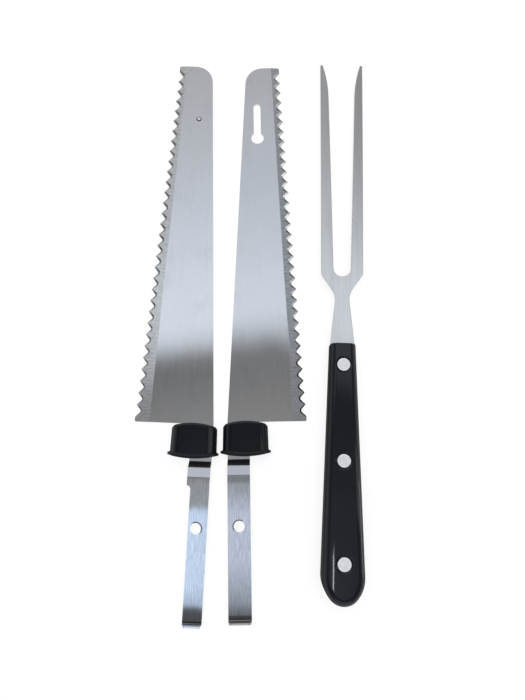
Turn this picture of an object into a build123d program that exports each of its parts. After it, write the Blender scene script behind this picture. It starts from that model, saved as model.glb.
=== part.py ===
from build123d import *
import math
import os

# The blade pair and the carving fork of an electric carving knife, laid out side by side.
# Sizes are in millimetres and angles in degrees.
#
# A blade's own frame has its origin on the shank's centreline at the heel line, +Y towards
# the tip, the teeth at -X, and Z = 0 on the flat face that runs against the other blade.
# The fork's own frame has its origin at the butt of the handle, +Y towards the tines, and
# Z = 0 at the middle of the steel.

# How far a cutting shape runs past the face that it cuts
overrun = 1.0

# Blade plate
plate_thickness = 1.0
blade_length = 203.9
heel_width = 40.8
spine_lean = 3.4
edge_lean = 2.75
tip_spine_radius = 10.0
tip_edge_radius = 0.8
heel_radius = 0.8

# Saw teeth and the bevel ground along them
gullet_count = 32
gullet_depth = 2.3
gullet_root_width = 0.9
gullet_wall_slope = 1.5
tip_land = 3.0
heel_land = 2.5
tooth_point = 0.3
bevel_width_at_tip = 4.5
bevel_width_at_heel = 7.7
bevel_slope = 0.09

# Shank, which the drive holds
shank_width = 11.3
shank_length = 96.0
shank_flat = 19.5
riser_run = 2.0
riser_height = 3.0
land_run = 5.0
land_rise = 0.8
left_shank_droop = 0.0
right_shank_droop = 1.6
shank_bend_radius = 1.6
lip_height = 3.0
lip_angle = 75.0
lip_corner_radius = 1.6
relief_start = 30.5
relief_depth = 1.9
relief_radius = 1.8
drive_hole_radius = 2.75
drive_hole_place = 51.0
tang_corner_radius = 1.0
peg_hole_radius = 2.0

# Guide rivet on the left blade, and the keyhole that it runs in on the right blade
rivet_offset = 12.3
rivet_tip_distance = 33.1
rivet_stem_radius = 1.45
rivet_tail_radius = 1.9
rivet_tail_height = 0.3
rivet_tail_chamfer = 0.25
rivet_neck_radius = 1.8
rivet_head_radius = 3.1
rivet_head_thickness = 0.8
blade_running_gap = 0.2
slot_clearance = 0.2
entry_clearance = 0.4
entry_travel = 11.2
slot_travel = 8.05

# Moulded collar on each blade
collar_front = 0.3
collar_rear = 17.2
collar_height = 9.5
collar_front_width = 22.5
collar_rear_width = 23.3
collar_offset = 3.65
collar_shoulder_radius = 5.5
collar_crown = 0.7
collar_front_bulge = 2.3
collar_rear_bulge = 1.7
collar_edge_chamfer = 1.0
flange_lip = 1.0
flange_thickness = 1.1
flange_flare = 0.8
collar_wall = 1.5
pocket_depth = 5.0
pocket_corner_radius = 1.0

# Fork steel
fork_length = 291.2
steel_thickness = 2.0
shoulder_run = 11.0
shoulder_half_width = 11.1
shoulder_radius = 4.5
neck_run = 27.0
neck_half_width = 3.4
neck_radius = 10.0
flare_half_width = 6.3
tip_half_width = 12.1
gap_bottom_run = 1.1
gap_half_width = 4.65
gap_half_width_at_point = 7.4
point_length = 21.0
point_width = 1.3
point_radius = 0.55

# Fork tang, hidden between the two halves of the handle
tang_width = 9.0
tang_end_place = 11.5
tang_end_radius = 2.5
tang_side_clearance = 0.2

# Fork handle
handle_length = 125.3
handle_front_half_width = 6.5
handle_rear_half_width = 10.6
butt_side_radius = 15.0
butt_tip_radius = 8.4
handle_front_half_height = 6.0
handle_rear_half_height = 7.8
handle_edge_radius = 3.6
handle_front_chamfer = 0.5

# Handle rivets, each in two halves
handle_rivet_rear_margin = 19.1
handle_rivet_front_margin = 11.2
handle_rivet_names = ("rear", "middle", "front")
handle_rivet_head_radius = 3.2
handle_rivet_head_thickness = 1.8
handle_rivet_tube_radius = 2.2
handle_rivet_pin_radius = 1.5
handle_rivet_end_gap = 0.5
handle_rivet_clearance = 0.02
tang_hole_clearance = 0.1

# Where the pieces lie: a point of each piece, and its turn about the vertical
left_blade_place = (-30.75, 13.04)
left_blade_turn = -2.4
right_blade_place = (-12.35, 14.05)
right_blade_turn = 1.0
fork_place = (37.78, -71.8)
fork_turn = -1.55


def tan(angle):
    """Tangent of an angle in degrees."""
    return math.tan(math.radians(angle))


def round_corner(face, corner, radius):
    """Round the corner of a flat face that lies nearest to a point."""
    return fillet(face.vertices().sort_by_distance(corner)[0], radius)


def spine_x(y):
    """The spine's place across the blade, which carries on from the shank's edge."""
    return shank_width / 2 - tan(spine_lean) * y


def edge_x(y):
    """The tooth line's place across the blade."""
    return shank_width / 2 - heel_width + tan(edge_lean) * y


def rivet_place():
    """The guide rivet's place along the blade."""
    return blade_length - rivet_tip_distance


def blade_outline(relieved):
    """The flat outline of a blade and its shank, with a narrower rear shank if relieved."""
    half = shank_width / 2
    tip_spine = (spine_x(blade_length), blade_length)
    tip_edge = (edge_x(blade_length), blade_length)
    heel = (edge_x(0), 0)
    tang = (-half, 0)
    rear = [(-half, -shank_length), (half, -shank_length)]
    if relieved:
        step = [(-half, -relief_start), (-half + relief_depth, -relief_start)]
        rear = step + [(-half + relief_depth, -shank_length), (half, -shank_length)]
    face = make_face(Polyline(tip_spine, tip_edge, heel, tang, *rear, (half, 0), close=True))
    face = round_corner(face, tip_spine, tip_spine_radius)
    face = round_corner(face, tip_edge, tip_edge_radius)
    face = round_corner(face, heel, heel_radius)
    face = round_corner(face, tang, tang_corner_radius)
    if relieved:
        face = round_corner(face, step[1], relief_radius)
    return face


def shank_profile(droop):
    """The plate seen from the side, from its tip to the lip at the shank's end."""
    riser_start = -shank_flat
    riser_end = riser_start - riser_run
    land_end = riser_end - land_run
    lip_run = lip_height / tan(lip_angle)
    lip_start = lip_run - shank_length
    land_height = riser_height + land_rise
    end_height = land_height - tan(droop) * (land_end - lip_start)
    line = FilletPolyline(
        (blade_length + overrun, 0),
        (riser_start, 0),
        (riser_end, riser_height),
        (land_end, land_height),
        (lip_start, end_height),
        (lip_start - lip_run, end_height + lip_height),
        radius=shank_bend_radius,
    )
    strip = offset(line, plate_thickness, side=Side.RIGHT, closed=True)
    return make_face(strip.edges())


def gullet_section(growth):
    """A gullet's V with its narrow flat root, offset outwards by a growth."""
    pitch = (edge_length() - tip_land - heel_land) / gullet_count
    half_mouth = (pitch - tooth_point) / 2
    half_root = gullet_root_width / 2
    flank = math.atan2(gullet_depth, half_mouth - half_root)
    root = half_root + growth * math.tan(flank / 2)
    reach = gullet_depth + growth
    mouth = half_root + (growth + (overrun + gullet_depth) * math.cos(flank)) / math.sin(flank)
    return make_face(
        Polyline((-mouth, -overrun), (-root, reach), (root, reach), (mouth, -overrun), close=True)
    )


def edge_length():
    """Length of the tooth line from the heel to the tip."""
    return blade_length / math.cos(math.radians(edge_lean))


def gullet_cutters():
    """The row of grinding cuts between the teeth, wider towards the outer face."""
    lean = math.radians(edge_lean)
    row = Plane(
        origin=(edge_x(blade_length), blade_length, 0),
        x_dir=(-math.sin(lean), -math.cos(lean), 0),
        z_dir=(0, 0, 1),
    )
    top = plate_thickness + overrun / 2
    bottom = -overrun / 2
    lower = Pos(0, 0, bottom) * gullet_section(gullet_wall_slope * bottom)
    upper = Pos(0, 0, top) * gullet_section(gullet_wall_slope * top)
    cutter = loft([lower.face(), upper.face()], ruled=True)
    pitch = (edge_length() - tip_land - heel_land) / gullet_count
    places = [tip_land + pitch * (i + 1 / 2) for i in range(gullet_count)]
    return [row * Pos(place, 0, 0) * cutter for place in places]


def bevel_cutter():
    """The wedge that the long bevel along the teeth takes off the outer face."""
    heel_point = Vector(edge_x(0) + bevel_width_at_heel, 0, plate_thickness)
    tip_point = Vector(edge_x(blade_length) + bevel_width_at_tip, blade_length, plate_thickness)
    along = (tip_point - heel_point).normalized()
    across = Plane(origin=heel_point - along * heel_width, x_dir=(0, 0, 1), z_dir=along)
    reach = heel_width / 2
    low = (-bevel_slope * reach, -reach)
    wedge = make_face(Polyline((0, 0), low, (overrun, -reach), close=True))
    length = (tip_point - heel_point).length + 2 * heel_width
    return extrude(across * wedge, length)


def blade(relieved, droop):
    """A blade with its shank, teeth, bevel, drive hole and peg hole."""
    height = plate_thickness + riser_height + land_rise + lip_height + 2 * overrun
    plan = Pos(0, 0, -height) * extrude(blade_outline(relieved), 2 * height)
    strip = extrude(Plane.YZ * shank_profile(droop), heel_width, both=True)
    body = plan & strip
    rear = body.edges().filter_by(lambda edge: edge.center().Y < plate_thickness - shank_length)
    lip_top = rear.sort_by(Axis.Z)[-4:]
    body = fillet(lip_top.sort_by(SortBy.LENGTH)[:2], lip_corner_radius)
    body = body - bevel_cutter()
    body = body - gullet_cutters()
    square_on = Pos(0, -drive_hole_place, riser_height + land_rise) * Rot(droop, 0, 0)
    body = body - square_on * Cylinder(drive_hole_radius, 2 * height)
    return body - Pos(0, -collar_rear / 2, 0) * Cylinder(peg_hole_radius, 2 * height)


def left_blade_solid():
    """The blade that carries the guide rivet."""
    hole = Cylinder(rivet_stem_radius, 2 * (plate_thickness + overrun))
    return blade(True, left_shank_droop) - Pos(-rivet_offset, rivet_place(), 0) * hole


def right_blade_solid():
    """The mirrored blade, with the keyhole that hooks over the guide rivet."""
    height = 2 * (plate_thickness + overrun)
    slot_radius = rivet_neck_radius + slot_clearance
    entry_place = rivet_place() - entry_travel
    slot_end = rivet_place() + slot_travel
    entry = Pos(rivet_offset, entry_place, 0) * Cylinder(rivet_head_radius + entry_clearance, height)
    middle = (slot_end + entry_place) / 2
    slot = Pos(rivet_offset, middle, 0) * Box(2 * slot_radius, slot_end - entry_place, height)
    end = Pos(rivet_offset, slot_end, 0) * Cylinder(slot_radius, height)
    return mirror(blade(False, right_shank_droop), about=Plane.YZ) - entry - slot - end


def guide_rivet_solid():
    """The headed rivet that stands out of the left blade's flat face."""
    neck_length = plate_thickness + blade_running_gap
    head_low = -neck_length - rivet_head_thickness
    tail_top = plate_thickness + rivet_tail_height
    half = make_face(
        Polyline(
            (0, tail_top),
            (0, head_low),
            (rivet_head_radius, head_low),
            (rivet_head_radius, -neck_length),
            (rivet_neck_radius, -neck_length),
            (rivet_neck_radius, 0),
            (rivet_stem_radius, 0),
            (rivet_stem_radius, plate_thickness),
            (rivet_tail_radius, plate_thickness),
            (rivet_tail_radius - rivet_tail_chamfer, tail_top),
            close=True,
        )
    )
    return Pos(-rivet_offset, rivet_place(), 0) * revolve(Plane.XZ * half, Axis.Z)


def collar_section(width, height):
    """The flattened arch of a collar, seen along the blade."""
    shoulder = height - collar_crown
    half = width / 2
    face = make_face(
        [
            Polyline((-half, shoulder), (-half, 0), (half, 0), (half, shoulder)),
            ThreePointArc((half, shoulder), (0, height), (-half, shoulder)),
        ]
    )
    face = round_corner(face, (-half, shoulder), collar_shoulder_radius)
    return round_corner(face, (half, shoulder), collar_shoulder_radius)


def collar_plan(front, front_bulge, rear, rear_bulge):
    """A strip across the collar between two bowed lines, seen from above."""
    half = collar_rear_width / 2 + flange_lip
    return make_face(
        [
            ThreePointArc((-half, front - front_bulge), (0, front), (half, front - front_bulge)),
            Line((half, front - front_bulge), (half, rear + rear_bulge)),
            ThreePointArc((half, rear + rear_bulge), (0, rear), (-half, rear + rear_bulge)),
            Line((-half, rear + rear_bulge), (-half, front - front_bulge)),
        ]
    )


def collar_solid():
    """The collar moulded round a blade's tang, with its rear flange and a moulding pocket."""
    taper = (collar_rear_width - collar_front_width) / (collar_front + collar_rear)
    ends = []
    for y in (collar_front + overrun, -collar_rear - overrun):
        width = collar_front_width + taper * (collar_front - y)
        ends.append(Pos(0, y, 0) * (Plane.XZ * collar_section(width, collar_height)))
    high = collar_height + flange_lip + overrun
    plan = collar_plan(collar_front, collar_front_bulge, -collar_rear, collar_rear_bulge)
    body = loft([end.face() for end in ends], ruled=True) & extrude(plan, high)
    front_edges = body.edges().filter_by(
        lambda edge: edge.center().Y > -collar_front_bulge and edge.center().Z > 0
    )
    body = chamfer(front_edges, collar_edge_chamfer)
    flange_section = collar_section(collar_rear_width + 2 * flange_lip, collar_height + flange_lip)
    flange_front = -collar_rear + flange_thickness
    band = collar_plan(flange_front, -collar_rear_bulge, -collar_rear, collar_rear_bulge)
    flange = extrude(Plane.XZ * flange_section, 2 * collar_rear) & extrude(band, high)
    collar = body + flange
    junction = new_edges(body, flange, combined=collar).filter_by(lambda edge: edge.center().Z > 0)
    collar = Pos(-collar_offset, 0, 0) * chamfer(junction, flange_flare)
    tang = extrude(blade_outline(False), plate_thickness)
    peg_hole = Pos(0, -collar_rear / 2, 0) * Cylinder(peg_hole_radius, 2 * plate_thickness)
    return collar - (tang - peg_hole) - collar_pocket()


def collar_pocket():
    """The hollow beside the tang that keeps the moulding's walls thin."""
    left = -collar_offset - collar_front_width / 2 + collar_wall
    right = -shank_width / 2 - collar_wall
    rear = -collar_rear + collar_rear_bulge + collar_wall
    front = collar_front - collar_front_bulge - collar_wall
    face = Pos((left + right) / 2, (rear + front) / 2) * Rectangle(right - left, front - rear)
    return extrude(fillet(face.vertices(), pocket_corner_radius), pocket_depth)


def tang_outline(clearance):
    """The part of the fork's steel that the handle hides, grown by a clearance."""
    width = tang_width + 2 * clearance
    end = tang_end_place - clearance
    middle = (end + handle_length) / 2
    face = Pos(0, middle) * Rectangle(width, handle_length - end)
    corners = face.vertices().sort_by(Axis.Y)[:2]
    return fillet(corners, tang_end_radius + clearance)


def neck_place():
    """The narrowest place of the fork's neck, from the butt."""
    return handle_length + neck_run


def shoulder_place():
    """The place of the fork's shoulders, from the butt."""
    return neck_place() + shoulder_run


def fork_outline():
    """The flat outline of the fork's steel: tang, flare, neck, shoulders and two tines."""
    side = [
        (tang_width / 2, tang_end_place + tang_end_radius),
        (tang_width / 2, handle_length),
        (flare_half_width, handle_length),
        (neck_half_width, neck_place()),
        (shoulder_half_width, shoulder_place()),
        (tip_half_width, fork_length),
    ]
    other_side = [(-x, y) for x, y in reversed(side)]
    face = make_face(Polyline(*side, *other_side, close=True))
    for x, y, radius in (
        (neck_half_width, neck_place(), neck_radius),
        (shoulder_half_width, shoulder_place(), shoulder_radius),
    ):
        face = round_corner(face, (x, y), radius)
        face = round_corner(face, (-x, y), radius)
    face = face + tang_outline(0) - tine_gap()
    for x in (tip_half_width, tip_half_width - point_width):
        face = round_corner(face, (x, fork_length), point_radius)
        face = round_corner(face, (-x, fork_length), point_radius)
    return face


def tine_gap():
    """The gap between the tines, which bends outwards to sharpen each tine on its inner side."""
    bottom = shoulder_place() - gap_bottom_run
    low = bottom + gap_half_width
    high = fork_length - point_length
    mouth = tip_half_width - point_width
    slant = (gap_half_width_at_point - gap_half_width, high - low)
    right_bend = TangentArc((gap_half_width_at_point, high), (mouth, fork_length), tangent=slant)
    left_bend = TangentArc(
        (-gap_half_width_at_point, high), (-mouth, fork_length), tangent=(-slant[0], slant[1])
    )
    return make_face(
        [
            ThreePointArc((-gap_half_width, low), (0, bottom), (gap_half_width, low)),
            Line((gap_half_width, low), (gap_half_width_at_point, high)),
            right_bend,
            Line((mouth, fork_length), (-mouth, fork_length)),
            left_bend,
            Line((-gap_half_width_at_point, high), (-gap_half_width, low)),
        ]
    )


def handle_slope():
    """How fast the handle's outer face comes nearer to the steel from butt to front."""
    return (handle_rear_half_height - handle_front_half_height) / handle_length


def tine_drop():
    """How far the tips bend down from the tang's plane to meet the table the handle lies on."""
    table = handle_rear_half_height - handle_slope() * fork_length
    return table - steel_thickness / 2


def fork_side_profile():
    """The steel seen from the side: straight to the shoulders, then bent down in one arc."""
    half = steel_thickness / 2
    bend = shoulder_place()
    reach = fork_length - bend
    radius = (reach**2 + tine_drop() ** 2) / (2 * tine_drop())
    turn = math.asin((reach + overrun) / (radius - half))

    def point(arc_radius, angle):
        return (
            bend + arc_radius * math.sin(angle),
            arc_radius * math.cos(angle) - radius,
        )

    upper, lower = radius + half, radius - half
    return make_face(
        [
            Line((0, half), (bend, half)),
            ThreePointArc(point(upper, 0), point(upper, turn / 2), point(upper, turn)),
            Line(point(upper, turn), point(lower, turn)),
            ThreePointArc(point(lower, turn), point(lower, turn / 2), point(lower, 0)),
            Line((bend, -half), (0, -half)),
            Line((0, -half), (0, half)),
        ]
    )


def fork_steel_solid():
    """The fork's tines, neck and tang, cut from one sheet and bent."""
    height = handle_rear_half_height
    plan = Pos(0, 0, -height) * extrude(fork_outline(), 2 * height)
    strip = extrude(Plane.YZ * fork_side_profile(), tip_half_width + overrun, both=True)
    steel = plan & strip
    hole = Cylinder(handle_rivet_tube_radius + tang_hole_clearance, 2 * height)
    return steel - [Pos(0, place, 0) * hole for place in handle_rivet_places()]


def handle_rivet_places():
    """Places of the handle's rivets along the fork, from the butt forwards."""
    steps = len(handle_rivet_names) - 1
    pitch = (handle_length - handle_rivet_rear_margin - handle_rivet_front_margin) / steps
    return [handle_rivet_rear_margin + pitch * i for i in range(steps + 1)]


def handle_side_angle():
    """How much each side of the handle leans in towards the front, in radians."""
    return math.atan2(handle_rear_half_width - handle_front_half_width, handle_length)


def butt_side_centre():
    """Centre of the arc between the handle's straight right side and the butt's tip arc."""
    lean = handle_side_angle()
    x = handle_rear_half_width - butt_side_radius * math.cos(lean)
    y = -butt_side_radius * math.sin(lean) - butt_tip_radius
    reach = butt_side_radius - butt_tip_radius
    shift = x * math.sin(lean) - y * math.cos(lean)
    travel = shift + math.sqrt(shift**2 - x**2 - y**2 + reach**2)
    return x - travel * math.sin(lean), y + butt_tip_radius + travel * math.cos(lean)


def handle_outline():
    """The handle seen from above: straight tapering sides and a butt of three tangent arcs."""
    lean = math.degrees(handle_side_angle())
    x, y = butt_side_centre()
    join = math.degrees(math.atan2(butt_tip_radius - y, -x))
    tip = CenterArc((0, butt_tip_radius), butt_tip_radius, join, -180 - 2 * join)
    right_arc = CenterArc((x, y), butt_side_radius, lean, join - lean)
    left_arc = CenterArc((-x, y), butt_side_radius, 180 - join, join - lean)
    front = handle_length + overrun
    half = handle_front_half_width - overrun * math.tan(handle_side_angle())
    return make_face(
        [
            Line((half, front), right_arc @ 0),
            right_arc,
            tip,
            left_arc,
            Line(left_arc @ 1, (-half, front)),
            Line((-half, front), (half, front)),
        ]
    )


def outer_face():
    """The plane of the handle's flat upper face, which slopes down to the front."""
    slope = handle_slope()
    return Plane(origin=(0, 0, handle_rear_half_height), x_dir=(1, 0, 0), z_dir=(0, slope, 1))


def rivet_seat(place):
    """Height of the step that a rivet's head seats on."""
    top = handle_rear_half_height - handle_slope() * place
    return top - handle_rivet_head_thickness


def upper_scale_solid():
    """The upper half of the handle, hollowed for half of the tang and bored for the rivets."""
    block = outer_face() * extrude(handle_outline(), -2 * handle_rear_half_height)
    rim = block.edges().filter_by(lambda edge: edge.center().Y < handle_length)
    rim = rim.sort_by(Axis.Z)[-5:]
    block = fillet(rim, handle_edge_radius)
    align = (Align.CENTER, Align.MAX, Align.MIN)
    room = Box(4 * handle_rear_half_width, 2 * handle_length, 2 * handle_rear_half_height, align=align)
    scale = block & Pos(0, handle_length, 0) * room
    front = scale.faces().sort_by(Axis.Y)[-1]
    scale = chamfer(front.edges().filter_by(lambda edge: edge.center().Z > 0), handle_front_chamfer)
    pocket = extrude(tang_outline(tang_side_clearance), steel_thickness / 2)
    mouth = Pos(0, handle_length, 0) * Box(
        tang_width + 2 * tang_side_clearance, 2 * overrun, steel_thickness
    )
    scale = scale - pocket - mouth
    bore = Cylinder(handle_rivet_tube_radius + handle_rivet_clearance, 4 * handle_rear_half_height)
    head = handle_rivet_head_radius + handle_rivet_clearance
    align = (Align.CENTER, Align.CENTER, Align.MIN)
    sink = Cylinder(head, handle_rear_half_height, align=align)
    for place in handle_rivet_places():
        scale = scale - Pos(0, place, 0) * bore - Pos(0, place, rivet_seat(place)) * sink
    return scale


def rivet_head(place):
    """A rivet head seated in the upper scale and ground flush with its outer face."""
    align = (Align.CENTER, Align.CENTER, Align.MIN)
    disc = Cylinder(handle_rivet_head_radius, handle_rear_half_height, align=align)
    align = (Align.CENTER, Align.CENTER, Align.MAX)
    length = 2 * (handle_length + overrun)
    under = outer_face() * Box(4 * handle_rear_half_width, length, 2 * handle_rear_half_height, align=align)
    return Pos(0, place, rivet_seat(place)) * disc & under


def cap_half(place):
    """The upper half of a handle rivet: a head on a tube that reaches through the tang."""
    seat = rivet_seat(place)
    depth = 2 * seat - handle_rivet_end_gap
    align = (Align.CENTER, Align.CENTER, Align.MAX)
    tube = Pos(0, place, seat) * Cylinder(handle_rivet_tube_radius, depth, align=align)
    bore_radius = handle_rivet_pin_radius + handle_rivet_clearance
    bore = Pos(0, place, seat) * Cylinder(bore_radius, depth + overrun, align=align)
    return rivet_head(place) + (tube - bore)


def pin_half(place):
    """The lower half of a handle rivet: a head on a pin that fills the other half's tube."""
    seat = rivet_seat(place)
    length = 2 * seat - handle_rivet_end_gap
    align = (Align.CENTER, Align.CENTER, Align.MIN)
    pin = Pos(0, place, -seat) * Cylinder(handle_rivet_pin_radius, length, align=align)
    return mirror(rivet_head(place), about=Plane.XY) + pin


def turned(place, turn, shapes):
    """Turn shapes about the vertical and move them to their place on the table."""
    low = min(shape.bounding_box().min.Z for shape in shapes.values())
    location = Pos(*place, -low) * Rot(0, 0, turn)
    return {name: location * shape for name, shape in shapes.items()}


def left_blade_rest():
    """How the left blade tips up at its tip to rest on the rivet's head and the collar."""
    foot = plate_thickness + blade_running_gap + rivet_head_thickness
    return Rot(math.degrees(math.asin(foot / (rivet_place() + collar_rear))), 0, 0)


def left_blade_pieces():
    rest = left_blade_rest()
    pieces = {
        "left_blade": left_blade_solid(),
        "left_collar": collar_solid(),
        "guide_rivet": guide_rivet_solid(),
    }
    pieces = {name: rest * shape for name, shape in pieces.items()}
    return turned(left_blade_place, left_blade_turn, pieces)


def right_blade_pieces():
    pieces = {
        "right_blade": right_blade_solid(),
        "right_collar": mirror(collar_solid(), about=Plane.YZ),
    }
    return turned(right_blade_place, right_blade_turn, pieces)


def fork_pieces():
    upper = upper_scale_solid()
    pieces = {
        "fork_steel": fork_steel_solid(),
        "upper_scale": upper,
        "lower_scale": mirror(upper, about=Plane.XY),
    }
    for name, place in zip(handle_rivet_names, handle_rivet_places()):
        pieces[name + "_rivet_cap"] = cap_half(place)
        pieces[name + "_rivet_pin"] = pin_half(place)
    tilt = Rot(-math.degrees(math.atan(handle_slope())), 0, 0)
    pieces = {name: tilt * shape for name, shape in pieces.items()}
    return turned(fork_place, fork_turn, pieces)


def laid_out():
    """Every piece in its place, with the origin under the middle of the whole set."""
    pieces = {**left_blade_pieces(), **right_blade_pieces(), **fork_pieces()}
    boxes = [shape.bounding_box() for shape in pieces.values()]
    low = [min(tuple(box.min)[axis] for box in boxes) for axis in range(3)]
    high = [max(tuple(box.max)[axis] for box in boxes) for axis in range(3)]
    origin = Pos(-(low[0] + high[0]) / 2, -(low[1] + high[1]) / 2, -low[2])
    print("origin shift", origin.position)
    return {name: origin * shape for name, shape in pieces.items()}


os.makedirs("parts", exist_ok=True)
for name, shape in laid_out().items():
    export_step(shape, os.path.join("parts", name + ".step"))
    print(name, len(shape.solids()), "solid,", round(shape.volume, 1), "cubic mm")
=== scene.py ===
from math import cos, radians, sin

import bpy
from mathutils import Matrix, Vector

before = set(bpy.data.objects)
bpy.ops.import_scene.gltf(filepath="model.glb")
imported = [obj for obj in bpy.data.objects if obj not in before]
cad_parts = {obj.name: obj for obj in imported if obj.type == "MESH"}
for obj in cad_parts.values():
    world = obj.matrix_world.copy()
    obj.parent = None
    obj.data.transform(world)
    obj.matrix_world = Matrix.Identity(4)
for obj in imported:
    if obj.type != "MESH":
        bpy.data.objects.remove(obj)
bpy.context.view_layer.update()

scene = bpy.context.scene
scene.view_settings.view_transform = "Standard"

# Camera, which looks down at the laid-out set from a little below its middle

SENSOR_WIDTH = 36.0
FOCAL_PIXELS = 545.0
IMAGE_HEIGHT_PIXELS = 700.0
CAMERA_PLACE = (0.0040325, -0.0682175, 0.283)
CAMERA_TILT = 10.4
NEAREST_SEEN = 0.01

camera_data = bpy.data.cameras.new("camera")
camera_data.sensor_fit = "AUTO"
camera_data.sensor_width = SENSOR_WIDTH
camera_data.lens = SENSOR_WIDTH * FOCAL_PIXELS / IMAGE_HEIGHT_PIXELS
camera_data.clip_start = NEAREST_SEEN
camera = bpy.data.objects.new("camera", camera_data)
camera.location = CAMERA_PLACE
camera.rotation_euler = (radians(CAMERA_TILT), 0.0, 0.0)
scene.collection.objects.link(camera)
scene.camera = camera

# Each item's own axes: where they start on the floor, in metres, and how far they are turned

MM = 0.001
LEFT_ORIGIN = (-26.7175 * MM, -55.1775 * MM)
LEFT_TURN = radians(-2.4)
RIGHT_ORIGIN = (-8.3175 * MM, -54.1675 * MM)
RIGHT_TURN = radians(1.0)
FORK_ORIGIN = (41.8125 * MM, -140.0175 * MM)
FORK_TURN = radians(-1.55)

# The guide rivet's centre, and the ring of painted shade round it, from the middle outwards

GUIDE_RIVET_CENTRE = (-31.85 * MM, 115.99 * MM)
GUIDE_RIVET_RING_START = (0.6 * MM, 0.9 * MM)
GUIDE_RIVET_RING_END = (1.8 * MM, 1.6 * MM)
GUIDE_RIVET_SHADE_REACH = (-0.8 * MM, 1.2 * MM)

# The side that a blade's teeth point to

LEFT = -1.0
RIGHT = 1.0


# Node graphs

class Graph:
    """A node tree, with short calls that each add a node and return its output."""

    # The mix node's sockets for colours, which share their names with those for numbers
    MIX_FACTOR = 0
    MIX_UNDER = 6
    MIX_OVER = 7
    MIX_RESULT = 2

    BEVEL_SAMPLES = 6

    def __init__(self, tree):
        self.tree = tree
        self.tree.nodes.clear()

    def add(self, kind):
        return self.tree.nodes.new("ShaderNode" + kind)

    def put(self, socket, value):
        """Links an output to a socket, or sets the socket's own value."""
        if hasattr(value, "is_linked"):
            self.tree.links.new(value, socket)
        else:
            socket.default_value = value

    def math(self, operation, *values):
        node = self.add("Math")
        node.operation = operation
        for socket, value in zip(node.inputs, values):
            self.put(socket, value)
        return node.outputs[0]

    def plus(self, a, b):
        return self.math("ADD", a, b)

    def minus(self, a, b):
        return self.math("SUBTRACT", a, b)

    def times(self, a, b):
        return self.math("MULTIPLY", a, b)

    def vector(self, operation, *values):
        node = self.add("VectorMath")
        node.operation = operation
        for socket, value in zip(node.inputs, values):
            self.put(socket, value)
        return node.outputs["Value" if operation == "LENGTH" else "Vector"]

    def place(self):
        return self.add("TexCoord").outputs["Object"]

    def normal(self):
        return self.add("NewGeometry").outputs["Normal"]

    def split(self, vector):
        node = self.add("SeparateXYZ")
        self.put(node.inputs[0], vector)
        return node.outputs[0], node.outputs[1], node.outputs[2]

    def join(self, x, y, z):
        node = self.add("CombineXYZ")
        for socket, value in zip(node.inputs, (x, y, z)):
            self.put(socket, value)
        return node.outputs[0]

    def noise(self, vector, scale, detail, roughness=0.5):
        node = self.add("TexNoise")
        self.put(node.inputs["Vector"], vector)
        node.inputs["Scale"].default_value = scale
        node.inputs["Detail"].default_value = detail
        node.inputs["Roughness"].default_value = roughness
        return node.outputs["Fac"]

    def ramp(self, value, low, high, to_low=0.0, to_high=1.0, smooth=False):
        """A value that goes from to_low to to_high as another goes from low to high, and stops there."""
        node = self.add("MapRange")
        node.interpolation_type = "SMOOTHSTEP" if smooth else "LINEAR"
        node.clamp = True
        self.put(node.inputs["Value"], value)
        self.put(node.inputs["From Min"], low)
        self.put(node.inputs["From Max"], high)
        self.put(node.inputs["To Min"], to_low)
        self.put(node.inputs["To Max"], to_high)
        return node.outputs[0]

    def between(self, value, start, full, full_end, end):
        """One from full to full_end, falling to zero at start and at end."""
        return self.times(self.ramp(value, start, full), self.ramp(value, end, full_end))

    def mix(self, factor, under, over, blend="MIX"):
        """One colour laid over another by a factor from 0 to 1."""
        node = self.add("Mix")
        node.data_type = "RGBA"
        node.blend_type = blend
        self.put(node.inputs[self.MIX_FACTOR], factor)
        for socket, colour in ((self.MIX_UNDER, under), (self.MIX_OVER, over)):
            self.put(node.inputs[socket], colour if hasattr(colour, "is_linked") else (*colour, 1.0))
        return node.outputs[self.MIX_RESULT]

    def bump(self, height, strength, distance, under=None):
        node = self.add("Bump")
        node.inputs["Strength"].default_value = strength
        node.inputs["Distance"].default_value = distance
        self.put(node.inputs["Height"], height)
        if under is not None:
            self.put(node.inputs["Normal"], under)
        return node.outputs[0]

    def bevel(self, radius):
        node = self.add("Bevel")
        node.samples = self.BEVEL_SAMPLES
        node.inputs["Radius"].default_value = radius
        return node.outputs[0]


class Finish(Graph):
    """A material's node tree with its shader."""

    def __init__(self, name):
        self.material = bpy.data.materials.new(name)
        self.material.use_nodes = True
        super().__init__(self.material.node_tree)
        self.output = self.add("OutputMaterial")
        self.shader = self.add("BsdfPrincipled")
        self.put(self.output.inputs["Surface"], self.shader.outputs["BSDF"])

    def set(self, **values):
        """Fills the shader's sockets, named with an underscore for each space."""
        for name, value in values.items():
            self.put(self.shader.inputs[name.replace("_", " ")], value)

    def set_axes(self, origin, turn):
        """Makes across, along and up: the place on a piece in its item's own axes, in millimetres."""
        x, y, z = self.split(self.place())
        dx = self.minus(x, origin[0])
        dy = self.minus(y, origin[1])
        self.across = self.plus(self.times(dx, cos(turn) / MM), self.times(dy, sin(turn) / MM))
        self.along = self.plus(self.times(dx, -sin(turn) / MM), self.times(dy, cos(turn) / MM))
        self.up = self.times(z, 1.0 / MM)

    def drawn(self, across_scale, along_scale, layer, detail, roughness=0.5):
        """Noise that is drawn out along a piece or across it, another pattern for each layer."""
        across = self.times(self.across, across_scale)
        along = self.times(self.along, along_scale)
        return self.noise(self.join(across, along, layer), 1.0, detail, roughness)


# Blade steel: places along a blade are in millimetres from its heel, and below zero on its shank

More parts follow.
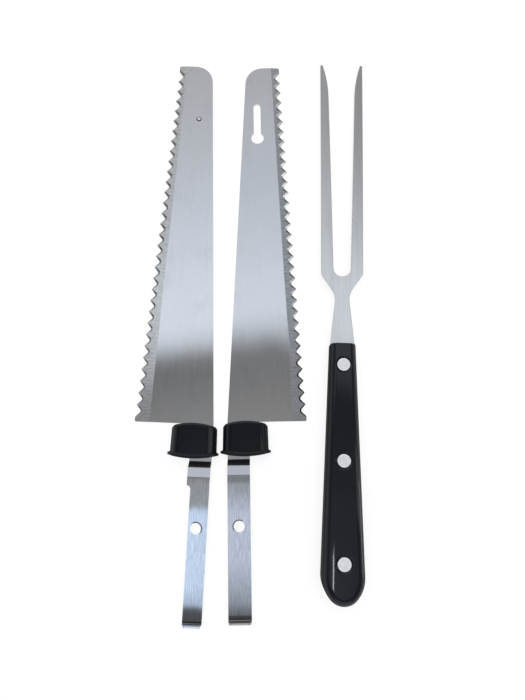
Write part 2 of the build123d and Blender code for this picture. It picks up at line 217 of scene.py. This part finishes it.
# Two places are where a change starts and ends, and four are where a tone rises and where it falls
FLAT_START = (-16.0, -15.5)
FLAT_TIP_PLACES = (150.0, 195.0)
FLAT_MIDDLE_PLACES = (60.0, 95.0, 135.0, 165.0)
BEVEL_START = (-1.0, 0.0)
BEVEL_HEEL_PLACES = (28.0, 8.0)
BEVEL_MIDDLE_PLACES = (12.0, 30.0, 70.0, 100.0)
BEVEL_TIP_PLACES = (110.0, 190.0)
# Where the painted shade on the left blade's gullet walls fades towards the tip
LEFT_GULLET_SHADE_FADE = (100.0, 190.0)
LAND = (-27.0, -26.6, -19.0, -18.0)
SHANK_START = (-26.8, -27.6)
SHANK_TOP_START = (-26.6, -27.0)
LEFT_FOLD = (-30.0, -28.2, -27.0, -26.6)
RIGHT_FOLD = (-30.8, -29.2, -27.0, -26.6)

# The drive hole, by how far it is behind the heel

HOLE_PLACE = 51.0
HOLE_RADIUS = 2.75
HOLE_RIM_REACH = (HOLE_RADIUS + 0.75, HOLE_RADIUS + 0.3)

# The line through the tooth tips, how wide the bevel's ground band is, and where its width changes

EDGE_AT_HEEL = -35.15
EDGE_SLOPE = 0.04803
LEFT_BAND_AT_HEEL = 7.7
LEFT_BAND_SLOPE = -0.0157
RIGHT_BAND_AT_HEEL = 7.8
RIGHT_BAND_WIDTH = 6.1
RIGHT_BAND_LOSS_AT_TIP = 1.3
LEFT_BAND_GAIN_AT_TIP = 3.5
RIGHT_BAND_HEEL_PLACES = (0.0, 35.0)
RIGHT_BAND_TIP_PLACES = (78.0, 190.0)
LEFT_BAND_TIP_PLACES = (197.0, 202.0)

# How much of a face's normal points up on level faces, and on the gullets' walls

LEVEL = (0.99, 0.994)
GULLET_SLOPE = (0.985, 0.95)

# How far in from the tooth tips the gullets' walls are looked for

GULLET_REACH = (9.5, 9.0)

# Tones of the steel

FLAT_DARK = (0.61, 0.61, 0.615)
FLAT_PALE = (0.72, 0.72, 0.725)
FLAT_CLOUD = (0.665, 0.675, 0.685)
FLAT_TIP = (0.70, 0.672, 0.682)
FLAT_STAIN = (0.58, 0.58, 0.585)
FLAT_SCRATCH = (0.80, 0.80, 0.81)
FLAT_MIDDLE = (0.60, 0.605, 0.61)
BEVEL_TIP = (0.75, 0.75, 0.76)
BEVEL_HEEL = (0.75, 0.75, 0.75)
BEVEL_MIDDLE = (0.90, 0.895, 0.88)
# Painted shade on the land in the slot behind the collar
LAND_PAINTED_SHADE = (0.45, 0.445, 0.46)
LEFT_FOLD_SHADE = (0.42, 0.405, 0.39)
RIGHT_FOLD_SHADE = (0.36, 0.355, 0.36)
SHANK_PALE = (0.82, 0.82, 0.83)
SHANK_DARK = (0.47, 0.47, 0.475)
SHANK_PIT = (0.42, 0.42, 0.42)
# Painted dark reflection round the drive hole's rim
HOLE_RIM_DARK_REFLECTION = (0.06, 0.06, 0.06)

# Painted reflections towards the lip, dark bands and a pale rim: from one place to the next, by how much,
# and to which colour

LIP_PAINTED_REFLECTIONS = {
    LEFT: (
        (-86.5, -89.0, 0.42, (0.20, 0.195, 0.205)),
        (-93.4, -93.8, 1.0, (0.07, 0.07, 0.07)),
        (-94.35, -94.75, 1.0, (0.76, 0.81, 0.91)),
    ),
    RIGHT: (
        (-91.9, -92.5, 0.8, (0.19, 0.18, 0.185)),
        (-93.3, -93.7, 1.0, (0.14, 0.135, 0.135)),
        (-94.25, -94.55, 1.0, (0.50, 0.485, 0.495)),
    ),
}


def flat_colour(g, side, streak):
    """The brushed flat: streaks along it, clouds, stains, a few scratches and a warmer tip."""
    cloud = g.drawn(0.06, 0.035, side, detail=2.0)
    stain = g.drawn(0.11, 0.07, 4.0, detail=2.0)
    scratch = g.ramp(g.drawn(5.0, 0.06, 7.0, detail=1.0), 0.70, 0.78)
    colour = g.mix(g.ramp(streak, 0.3, 0.7), FLAT_DARK, FLAT_PALE)
    colour = g.mix(g.ramp(cloud, 0.35, 0.65, 0.0, 0.8), colour, FLAT_CLOUD)
    colour = g.mix(g.ramp(g.along, *FLAT_TIP_PLACES, 0.0, 0.6), colour, FLAT_TIP)
    colour = g.mix(g.ramp(stain, 0.55, 0.75, 0.0, 0.5), colour, FLAT_STAIN)
    colour = g.mix(g.times(scratch, 0.5), colour, FLAT_SCRATCH)
    if side == RIGHT:
        middle = g.between(g.along, *FLAT_MIDDLE_PLACES)
        colour = g.mix(g.times(middle, 0.5), colour, FLAT_MIDDLE)
    return colour


def bevel_places(g, side):
    """How far a point lies in from the tooth tips, and whether it is on the bevel's ground band."""
    edge = g.plus(g.times(g.along, EDGE_SLOPE), EDGE_AT_HEEL)
    depth = g.minus(g.times(g.across, -side), edge)
    if side == RIGHT:
        width = g.ramp(g.along, *RIGHT_BAND_HEEL_PLACES, RIGHT_BAND_AT_HEEL, RIGHT_BAND_WIDTH)
        loss = g.ramp(g.along, *RIGHT_BAND_TIP_PLACES, 0.0, RIGHT_BAND_LOSS_AT_TIP)
        width = g.minus(width, loss)
    else:
        width = g.plus(g.times(g.along, LEFT_BAND_SLOPE), LEFT_BAND_AT_HEEL)
    ragged = g.drawn(1.0, 1.4, 2.0, detail=2.0)
    inside = g.plus(g.minus(width, depth), g.times(ragged, 0.5))
    if side == LEFT:
        inside = g.plus(inside, g.ramp(g.along, *LEFT_BAND_TIP_PLACES, 0.0, LEFT_BAND_GAIN_AT_TIP))
    band = g.times(g.ramp(inside, 0.1, 0.5), g.ramp(g.along, *BEVEL_START))
    return depth, band


def bevel_colour(g, side, grind, dark, pale):
    """The bevel's band, ground across, and paler along a part of it."""
    colour = g.mix(g.ramp(grind, 0.36, 0.64), dark, pale)
    if side == RIGHT:
        colour = g.mix(g.ramp(g.along, *BEVEL_TIP_PLACES, 0.0, 0.35), colour, BEVEL_TIP)
        colour = g.mix(g.ramp(g.along, *BEVEL_HEEL_PLACES, 0.0, 0.25), colour, BEVEL_HEEL)
    else:
        middle = g.between(g.along, *BEVEL_MIDDLE_PLACES)
        colour = g.mix(g.times(middle, 0.38), colour, BEVEL_MIDDLE)
    return colour


def gullet_painted_shade_and_glint(g, side, colour, depth, normal_y, normal_up, painted_heel_wall_shade_and_glint, painted_tip_wall_shade):
    """The gullets' slanted walls, with painted shade where they face the tip, and where they face the
    heel painted shade on the left blade and a painted glint on the right.
    """
    gullet = g.times(g.ramp(normal_up, *GULLET_SLOPE), g.ramp(depth, *GULLET_REACH))
    facing = g.ramp(g.times(normal_y, 3.0), -0.5, 0.5)
    painted_share = g.times(gullet, g.ramp(depth, 0.3, 1.7, 0.35, 1.0))
    if side == LEFT:
        painted_share = g.times(painted_share, g.ramp(g.along, *LEFT_GULLET_SHADE_FADE, 1.0, 0.55))
    # Painted shade on the walls, and on the right blade a painted glint on the heel-facing walls
    return g.mix(painted_share, colour, g.mix(facing, painted_heel_wall_shade_and_glint, painted_tip_wall_shade))


def hole_rim_painted_reflection(g, side):
    """A painted dark reflection on the rounded rim of the punched drive hole, on one side of it."""
    behind = g.plus(g.along, HOLE_PLACE)
    from_hole = g.vector("LENGTH", g.join(g.across, behind, 0.0))
    rim = g.ramp(from_hole, *HOLE_RIM_REACH)
    side_on = g.plus(g.times(g.across, -0.75 * side), g.times(behind, 0.66))
    return g.times(rim, g.ramp(side_on, -0.4, 1.2))


def shank_colour(g, side, colour, land, shank, scrape):
    """The land behind the collar and the fold after it, both with painted shade, the scraped shank, its
    hole's rim with a painted dark reflection on one side, and its lip with painted reflections.
    """
    # Painted shade on the land behind the collar
    colour = g.mix(g.times(land, 0.9), colour, LAND_PAINTED_SHADE)
    if side == LEFT:
        fold = g.between(g.along, *LEFT_FOLD)
        colour = g.mix(g.times(fold, 0.8), colour, LEFT_FOLD_SHADE)
    worn = g.mix(g.ramp(scrape, 0.36, 0.62), SHANK_PALE, SHANK_DARK)
    pits = g.drawn(1.1, 0.7, 6.0, detail=4.0, roughness=0.7)
    worn = g.mix(g.ramp(pits, 0.56, 0.72, 0.0, 0.6), worn, SHANK_PIT)
    colour = g.mix(g.times(shank, 0.7), colour, worn)
    # Painted dark reflection on one side of the drive hole's rim
    colour = g.mix(g.times(hole_rim_painted_reflection(g, side), shank), colour, HOLE_RIM_DARK_REFLECTION)
    if side == RIGHT:
        fold = g.between(g.along, *RIGHT_FOLD)
        colour = g.mix(g.times(fold, 0.75), colour, RIGHT_FOLD_SHADE)
    # Painted dark and pale reflections towards the lip
    for start, end, amount, tone in LIP_PAINTED_REFLECTIONS[side]:
        colour = g.mix(g.ramp(g.along, start, end, 0.0, amount), colour, tone)
    return colour


def blade_relief(g, side, normal, normal_up, level_normal, band, band_lean, shank, streak, grind, scrape):
    """Relief: the lean of flat and band, slow waves, brush lines, grinding lines and scrapes."""
    level = g.ramp(normal_up, *LEVEL)
    on_flat = g.times(level, g.times(g.ramp(g.along, *FLAT_START), g.minus(1.0, band)))
    if side == LEFT:
        on_flat = g.math("MAXIMUM", on_flat, g.times(g.ramp(g.along, *SHANK_TOP_START), level))
    turn_to = g.vector("SUBTRACT", level_normal, normal)
    leaning = g.vector("ADD", normal, g.vector("MULTIPLY", turn_to, g.join(on_flat, on_flat, on_flat)))
    leaning = g.vector("ADD", leaning, g.join(0.0, g.times(band, band_lean), 0.0))
    waves = g.drawn(0.05, 0.03, 1.0, detail=1.0)
    relief = g.bump(waves, 1.0, 0.06 * MM, g.vector("NORMALIZE", leaning))
    relief = g.bump(streak, 0.06, 0.02 * MM, relief)
    relief = g.bump(g.times(grind, band), 0.5, 0.03 * MM, relief)
    return g.bump(g.times(scrape, shank), 0.15, 0.01 * MM, relief)


def blade_material(
    name, origin, turn, side, level_normal, tone_level, polish, band_lean,
    band_pale, band_dark, painted_heel_wall_shade_and_glint, painted_tip_wall_shade,
):
    """Ground steel: brushed along its flat, ground across along its bevel, scraped on its shank."""
    g = Finish(name)
    g.set_axes(origin, turn)
    normal = g.normal()
    _, normal_y, normal_up = g.split(normal)
    fine = g.drawn(9.0, 0.09, g.up, detail=3.0)
    broad = g.drawn(1.6, 0.03, g.up, detail=2.0)
    streak = g.plus(g.times(fine, 0.6), g.times(broad, 0.4))
    cross = g.drawn(0.25, 1.1, 5.0, detail=3.0)
    grain = g.drawn(2.2, 2.6, 9.0, detail=3.0)
    grind = g.plus(g.times(cross, 0.6), g.times(grain, 0.4))
    scrape = g.drawn(2.4, 0.16, 3.0, detail=5.0, roughness=0.65)
    depth, band = bevel_places(g, side)
    land = g.between(g.along, *LAND)
    shank = g.ramp(g.along, *SHANK_START)

    bevel = bevel_colour(g, side, grind, band_dark, band_pale)
    colour = g.mix(band, flat_colour(g, side, streak), bevel)
    colour = gullet_painted_shade_and_glint(g, side, colour, depth, normal_y, normal_up, painted_heel_wall_shade_and_glint, painted_tip_wall_shade)
    colour = shank_colour(g, side, colour, land, shank, scrape)
    colour = g.mix(1.0, colour, (tone_level, tone_level, tone_level), "MULTIPLY")
    rough = g.ramp(streak, 0.25, 0.75, polish, polish + 0.05)
    rough = g.plus(rough, g.times(band, g.ramp(grind, 0.3, 0.7, 0.20, 0.14)))
    rough = g.minus(rough, g.times(shank, 0.02))
    relief = blade_relief(
        g, side, normal, normal_up, level_normal, band, band_lean, shank, streak, grind, scrape,
    )
    g.set(Base_Color=colour, Metallic=g.minus(1.0, g.times(land, 0.045)), Roughness=rough, Normal=relief)
    return g.material


# Fork: places along it are in millimetres from the butt of its handle

FORK_DARK = (0.59, 0.582, 0.57)
FORK_PALE = (0.72, 0.71, 0.695)
TINE_TIPS_PAINTED_SHADE = (0.53, 0.525, 0.52)
TINE_TIPS_SHADE_PLACES = (235.0, 285.0)
FORK_EDGE_RADIUS = 0.4 * MM

RIVET_PLACES = (19.1, 66.6, 114.1)
RIVET_RADIUS = 3.2
RIVET_RIM_REACH = (RIVET_RADIUS - 0.65, RIVET_RADIUS - 0.25)
RIVET_DISH_REACH = (RIVET_RADIUS, RIVET_RADIUS + 1.3)
RIVET_DARK = (0.70, 0.70, 0.715)
RIVET_PALE = (0.87, 0.87, 0.885)
RIVET_RIM = (0.90, 0.90, 0.91)
RIVET_EDGE_RADIUS = 0.2 * MM

HANDLE_LENGTH = 125.3
HALF_WIDTH_AT_BUTT = 10.6
HALF_WIDTH_AT_FRONT = 6.5
CROWN_PLACES = (52.0, 36.0)
CROWN_START = 5.8
CROWN_CURVE = 0.018
MOULDED_EDGE_RADIUS = 0.5 * MM


def fork_material(name):
    """Satin steel, drawn along the fork's length, with painted shade darkening the tips of its tines."""
    g = Finish(name)
    g.set_axes(FORK_ORIGIN, FORK_TURN)
    fine = g.drawn(7.0, 0.3, g.up, detail=3.0)
    cloud = g.drawn(0.3, 0.05, g.up, detail=2.0)
    lines = g.drawn(1.7, 0.015, 2.0, detail=2.0)
    tone = g.plus(g.times(fine, 0.3), g.times(lines, 0.5))
    tone = g.plus(tone, g.times(cloud, 0.2))
    colour = g.mix(g.ramp(tone, 0.35, 0.65), FORK_DARK, FORK_PALE)
    # Painted shade towards the tines' tips
    colour = g.mix(g.ramp(g.along, *TINE_TIPS_SHADE_PLACES, 0.0, 0.8), colour, TINE_TIPS_PAINTED_SHADE)
    g.set(Base_Color=colour, Metallic=1.0, Roughness=g.ramp(fine, 0.3, 0.7, 0.12, 0.17))
    g.set(Normal=g.bump(fine, 0.12, 0.02 * MM, g.bevel(FORK_EDGE_RADIUS)))
    return g.material


def from_rivets(g):
    """How far a point is from the middle of the nearest handle rivet, in millimetres."""
    near = None
    for place in RIVET_PLACES:
        here = g.vector("LENGTH", g.join(g.across, g.minus(g.along, place), 0.0))
        near = here if near is None else g.math("MINIMUM", near, here)
    return near


def handle_relief(g, normal_up, relief):
    """Dishes round the rivets, and a crown that falls off towards the sides near the butt."""
    g.set_axes(FORK_ORIGIN, FORK_TURN)
    dish = g.ramp(from_rivets(g), *RIVET_DISH_REACH, smooth=True)
    relief = g.bump(dish, 1.0, 0.3 * MM, relief)
    half_width = g.ramp(g.along, 0.0, HANDLE_LENGTH, HALF_WIDTH_AT_BUTT, HALF_WIDTH_AT_FRONT)
    past = g.minus(g.math("ABSOLUTE", g.across), g.minus(half_width, CROWN_START))
    past = g.math("MAXIMUM", past, 0.0)
    fall = g.times(g.times(past, past), -CROWN_CURVE)
    near_butt = g.times(g.ramp(normal_up, 0.98, 0.995), g.ramp(g.along, *CROWN_PLACES))
    return g.bump(g.times(fall, near_butt), 1.0, 1.0 * MM, relief)


def plastic_material(name, colour, index, riveted):
    """Black moulded plastic: glossy above, duller down its sides and painted darker there as shade, with
    slow ripples.
    """
    g = Finish(name)
    _, _, normal_up = g.split(g.normal())
    grain = g.noise(g.place(), scale=700.0, detail=2.0)
    slow = g.noise(g.place(), scale=60.0, detail=1.0)
    tone = g.mix(g.ramp(grain, 0.3, 0.7), colour, tuple(c * 1.3 for c in colour))
    wall = g.ramp(normal_up, 0.78, 0.4)
    rough = g.plus(g.ramp(slow, 0.3, 0.7, 0.06, 0.09), g.times(wall, 0.85))
    # The sides' base colour is painted darker, as shade
    g.set(Base_Color=g.mix(wall, tone, tuple(c * 0.6 for c in colour)), Roughness=rough)
    g.shader.inputs["IOR"].default_value = index
    relief = g.bump(slow, 0.1, 0.2 * MM, g.bevel(MOULDED_EDGE_RADIUS))
    if riveted:
        relief = handle_relief(g, normal_up, relief)
    g.set(Normal=relief)
    return g.material


def rivet_material(name):
    """Satin rivet heads, mottled by polishing, with a brighter ring at the rim."""
    g = Finish(name)
    g.set_axes(FORK_ORIGIN, FORK_TURN)
    mottle = g.noise(g.place(), scale=1400.0, detail=3.0)
    rim = g.ramp(from_rivets(g), *RIVET_RIM_REACH)
    face = g.mix(g.ramp(mottle, 0.35, 0.65), RIVET_DARK, RIVET_PALE)
    g.set(Base_Color=g.mix(rim, face, RIVET_RIM))
    g.set(Metallic=0.7, Roughness=g.ramp(mottle, 0.3, 0.7, 0.34, 0.42))
    g.set(Normal=g.bump(mottle, 0.3, 0.03 * MM, g.bevel(RIVET_EDGE_RADIUS)))
    return g.material


def guide_rivet_material(name):
    """The small headed rivet near the left blade's tip: bright middle, and a ring of painted shade round
    it, darkest on its lower side.
    """
    g = Finish(name)
    x, y, _ = g.split(g.place())
    dx = g.minus(x, GUIDE_RIVET_CENTRE[0])
    dy = g.minus(y, GUIDE_RIVET_CENTRE[1])
    radius = g.vector("LENGTH", g.join(dx, dy, 0.0))
    ring = g.ramp(radius, *GUIDE_RIVET_RING_START, smooth=True)
    ring = g.times(ring, g.ramp(radius, *GUIDE_RIVET_RING_END))
    wear = g.noise(g.place(), scale=1500.0, detail=2.0)
    bright = g.mix(wear, (0.86, 0.86, 0.87), (0.95, 0.95, 0.96))
    # Painted shade on the ring, darker on its lower side
    shade = g.mix(g.ramp(dy, *GUIDE_RIVET_SHADE_REACH), (0.13, 0.13, 0.13), (0.56, 0.56, 0.56))
    g.set(Base_Color=g.mix(ring, bright, shade), Metallic=1.0)
    g.set(Roughness=g.plus(g.ramp(wear, 0.3, 0.7, 0.14, 0.2), g.times(ring, 0.2)))
    g.set(Normal=g.bump(wear, 0.2, 0.02 * MM))
    return g.material


# Every node gets its material

left_steel = blade_material(
    "left_blade_steel",
    LEFT_ORIGIN,
    LEFT_TURN,
    LEFT,
    level_normal=(0.0, 0.0055, 1.0),
    tone_level=1.03,
    polish=0.045,
    band_lean=0.014,
    band_pale=(0.75, 0.745, 0.73),
    band_dark=(0.50, 0.50, 0.49),
    # Painted shade on both walls of the gullets
    painted_heel_wall_shade_and_glint=(0.13, 0.13, 0.13),
    painted_tip_wall_shade=(0.26, 0.26, 0.26),
)
right_steel = blade_material(
    "right_blade_steel",
    RIGHT_ORIGIN,
    RIGHT_TURN,
    RIGHT,
    level_normal=(0.0, 0.0, 1.0),
    tone_level=0.985,
    polish=0.07,
    band_lean=0.0,
    band_pale=(0.46, 0.465, 0.47),
    band_dark=(0.28, 0.285, 0.29),
    # A painted glint on the gullets' heel-facing walls, and painted shade on the others
    painted_heel_wall_shade_and_glint=(1.0, 1.0, 1.0),
    painted_tip_wall_shade=(0.09, 0.09, 0.09),
)
fork_steel = fork_material("fork_steel")
collar_plastic = plastic_material("collar_plastic", (0.0022, 0.0036, 0.0055), 1.37, riveted=False)
handle_plastic = plastic_material("handle_plastic", (0.0036, 0.0052, 0.0075), 1.42, riveted=True)
rivet_metal = rivet_material("rivet_metal")
materials = {
    "left_blade": left_steel,
    "right_blade": right_steel,
    "guide_rivet": guide_rivet_material("guide_rivet_steel"),
    "fork_steel": fork_steel,
    "left_collar": collar_plastic,
    "right_collar": collar_plastic,
    "upper_scale": handle_plastic,
    "lower_scale": handle_plastic,
}
for node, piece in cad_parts.items():
    piece.data.materials.clear()
    piece.data.materials.append(materials.get(node, rivet_metal))

# White floor

FLOOR_REACH = 4
FLOOR_PLACE = (0.0, 0.0, -0.00005)
FLOOR_CORNERS = [
    (-FLOOR_REACH, -FLOOR_REACH, 0),
    (FLOOR_REACH, -FLOOR_REACH, 0),
    (FLOOR_REACH, FLOOR_REACH, 0),
    (-FLOOR_REACH, FLOOR_REACH, 0),
]
FLOOR_GLOW_SHARE = 0.8


def floor_material(name):
    """Matt white, mixed with plain white light for the rays that show it."""
    g = Finish(name)
    g.set(Base_Color=(1.0, 1.0, 1.0, 1.0), Roughness=0.9)
    g.shader.inputs["Specular IOR Level"].default_value = 0.1
    path_kind = g.add("LightPath").outputs
    seen = g.math("MAXIMUM", path_kind["Is Camera Ray"], path_kind["Is Glossy Ray"])
    seen = g.math("MAXIMUM", seen, path_kind["Is Transmission Ray"])
    glow = g.add("Emission")
    glow.inputs["Strength"].default_value = 1.0
    both = g.add("MixShader")
    g.put(both.inputs[0], g.times(seen, FLOOR_GLOW_SHARE))
    g.put(both.inputs[1], g.shader.outputs["BSDF"])
    g.put(both.inputs[2], glow.outputs[0])
    g.put(g.output.inputs["Surface"], both.outputs[0])
    return g.material


floor_mesh = bpy.data.meshes.new("floor")
floor_mesh.from_pydata(FLOOR_CORNERS, [], [(0, 1, 2, 3)])
floor = bpy.data.objects.new("floor", floor_mesh)
floor.location = FLOOR_PLACE
scene.collection.objects.link(floor)
floor_mesh.materials.append(floor_material("floor"))

# World light: angles are in degrees from straight up, along towards the tips and across to the right

DEGREES_IN_RADIAN = 57.29578
BLACK = (0.0, 0.0, 0.0)
SIDES_OF_ROOM = (0.16, 0.165, 0.17)
LOW_SIDES = (0.9, 0.91, 0.92)
HORIZON = (0.80, 0.805, 0.81)
RED_PER_BLUE = 0.6

# Angle along, level of light, and blueness
OVERHEAD = (
    (-90.0, 0.85, 0.02),
    (-45.0, 0.80, 0.02),
    (-34.0, 0.45, 0.02),
    (-25.0, 0.13, 0.02),
    (-14.0, 0.13, 0.02),
    (-11.0, 0.30, 0.06),
    (-8.0, 0.43, 0.08),
    (-6.0, 0.45, 0.09),
    (-3.5, 0.44, 0.10),
    (-1.0, 0.42, 0.06),
    (1.5, 0.34, 0.00),
    (5.0, 0.30, 0.00),
    (7.5, 0.257, 0.01),
    (10.0, 0.215, 0.02),
    (10.6, 0.25, 0.04),
    (11.2, 0.36, 0.05),
    (11.8, 0.56, 0.08),
    (12.5, 0.79, 0.10),
    (13.3, 0.93, 0.11),
    (14.5, 1.00, 0.11),
    (18.0, 0.98, 0.11),
    (20.0, 0.94, 0.11),
    (24.0, 0.86, 0.11),
    (28.0, 0.78, 0.10),
    (32.0, 0.70, 0.08),
    (36.0, 0.62, 0.07),
    (39.0, 0.57, 0.05),
    (44.0, 0.60, 0.04),
    (60.0, 0.55, 0.02),
    (90.0, 0.75, 0.02),
)

# The angles across at which the two shanks mirror their light panel, and its hue there
LEFT_SHANK_ACROSS = -5.6
RIGHT_SHANK_ACROSS = -4.0
LEFT_PANEL_HUE = (0.86, 1.04, 1.32)
RIGHT_PANEL_HUE = (0.93, 1.03, 1.24)


def colour_ramp(g, value, stops):
    """A colour that follows a value, from stops of value, level and blueness."""
    low = stops[0][0]
    high = stops[-1][0]
    node = g.add("ValToRGB")
    g.put(node.inputs[0], g.ramp(value, low, high))
    elements = node.color_ramp.elements
    while len(elements) < len(stops):
        elements.new(0.5)
    for element, (place, level, blue) in zip(elements, stops):
        element.position = (place - low) / (high - low)
        element.color = (level * (1 - RED_PER_BLUE * blue), level, level * (1 + blue), 1.0)
    return node.outputs[0]


def shank_panel(g, along, across):
    """The light panel that the shanks mirror: where it is, and its colour."""

    def by_shank(left, right):
        return g.ramp(across, LEFT_SHANK_ACROSS, RIGHT_SHANK_ACROSS, left, right)

    slanted = g.plus(along, by_shank(-6.0, -2.0))
    near_edge = g.ramp(slanted, by_shank(-11.0, -8.2), by_shank(-11.4, -11.8), smooth=True)
    far_edge = g.ramp(g.plus(slanted, by_shank(-0.3, -0.25)), -20.8, -20.45, smooth=True)
    ends = g.times(g.ramp(across, 10.0, 2.0), g.ramp(across, -14.0, -10.5))
    panel = g.times(g.times(near_edge, far_edge), ends)
    fading = g.ramp(slanted, -20.5, by_shank(-18.2, -15.9), by_shank(0.72, 0.52), 1.0)
    level = g.times(fading, g.ramp(across, -8.0, -2.5, 1.0, 0.78))
    hue = g.mix(by_shank(0.0, 1.0), LEFT_PANEL_HUE, RIGHT_PANEL_HUE)
    return panel, g.mix(level, BLACK, hue)


def world_light():
    """A pale room with a darker gap overhead between two light panels, which flat steel mirrors."""
    world = bpy.data.worlds.new("world")
    scene.world = world
    world.use_nodes = True
    g = Graph(world.node_tree)
    x, y, z = g.split(g.add("TexCoord").outputs["Generated"])
    along = g.times(g.math("ARCTAN2", y, z), DEGREES_IN_RADIAN)
    across = g.times(g.math("ARCSINE", x), DEGREES_IN_RADIAN)
    leaning = g.minus(along, g.times(across, 0.12))
    leaning = g.plus(leaning, g.ramp(across, 2.0, 12.0, 0.0, 4.5))
    panel, panel_colour = shank_panel(g, along, across)
    colour = g.mix(panel, colour_ramp(g, leaning, OVERHEAD), panel_colour)
    # A dimmer corner to the right of the tips
    corner = g.times(g.ramp(across, 3.0, 11.0), g.ramp(along, 18.0, 34.0))
    colour = g.mix(g.times(corner, 0.3), colour, BLACK)
    # Darker to both sides, paler again low down, and pale all round at the horizon
    from_middle = g.math("ABSOLUTE", across)
    colour = g.mix(g.ramp(from_middle, 18.0, 34.0, smooth=True), colour, SIDES_OF_ROOM)
    colour = g.mix(g.times(g.ramp(from_middle, 36.0, 64.0), 0.45), colour, LOW_SIDES)
    colour = g.mix(g.ramp(z, 0.50, 0.30, smooth=True), colour, HORIZON)
    background = g.add("Background")
    g.put(background.inputs["Color"], colour)
    background.inputs["Strength"].default_value = 1.0
    g.put(g.add("OutputWorld").inputs["Surface"], background.outputs[0])


world_light()

# Lamps: three that glossy plastic mirrors as highlights, and a broad soft one from above

COOL_WHITE = (0.94, 0.98, 1.0)


def area_lamp(name, centre, aim, width, length, power, colour=(1.0, 1.0, 1.0)):
    """A rectangular lamp, aimed at a point and hidden from the camera."""
    lamp = bpy.data.lights.new(name, "AREA")
    lamp.shape = "RECTANGLE"
    lamp.size = width
    lamp.size_y = length
    lamp.energy = power
    lamp.color = colour
    holder = bpy.data.objects.new(name, lamp)
    holder.location = centre
    direction = Vector(aim) - Vector(centre)
    holder.rotation_euler = direction.to_track_quat("-Z", "Y").to_euler()
    holder.visible_camera = False
    scene.collection.objects.link(holder)
    return holder


area_lamp(
    "side_softbox", (0.75, -0.1, 0.62), (0.0, 0.0, 0.0),
    width=0.16, length=0.7, power=0.3, colour=COOL_WHITE,
)
area_lamp(
    "edge_light", (1.03, -0.2, 0.16), (0.045, -0.1, 0.01),
    width=0.2, length=0.12, power=0.35, colour=COOL_WHITE,
)
area_lamp(
    "butt_light", (0.098, -0.279, 0.98), (0.037, -0.12, 0.01),
    width=0.026, length=0.118, power=0.17, colour=(0.96, 0.99, 1.0),
)
fill = area_lamp(
    "top_fill", (0.0, 0.05, 1.0), (0.0, 0.0, 0.0),
    width=1.0, length=1.0, power=8.0,
)
fill.visible_glossy = False
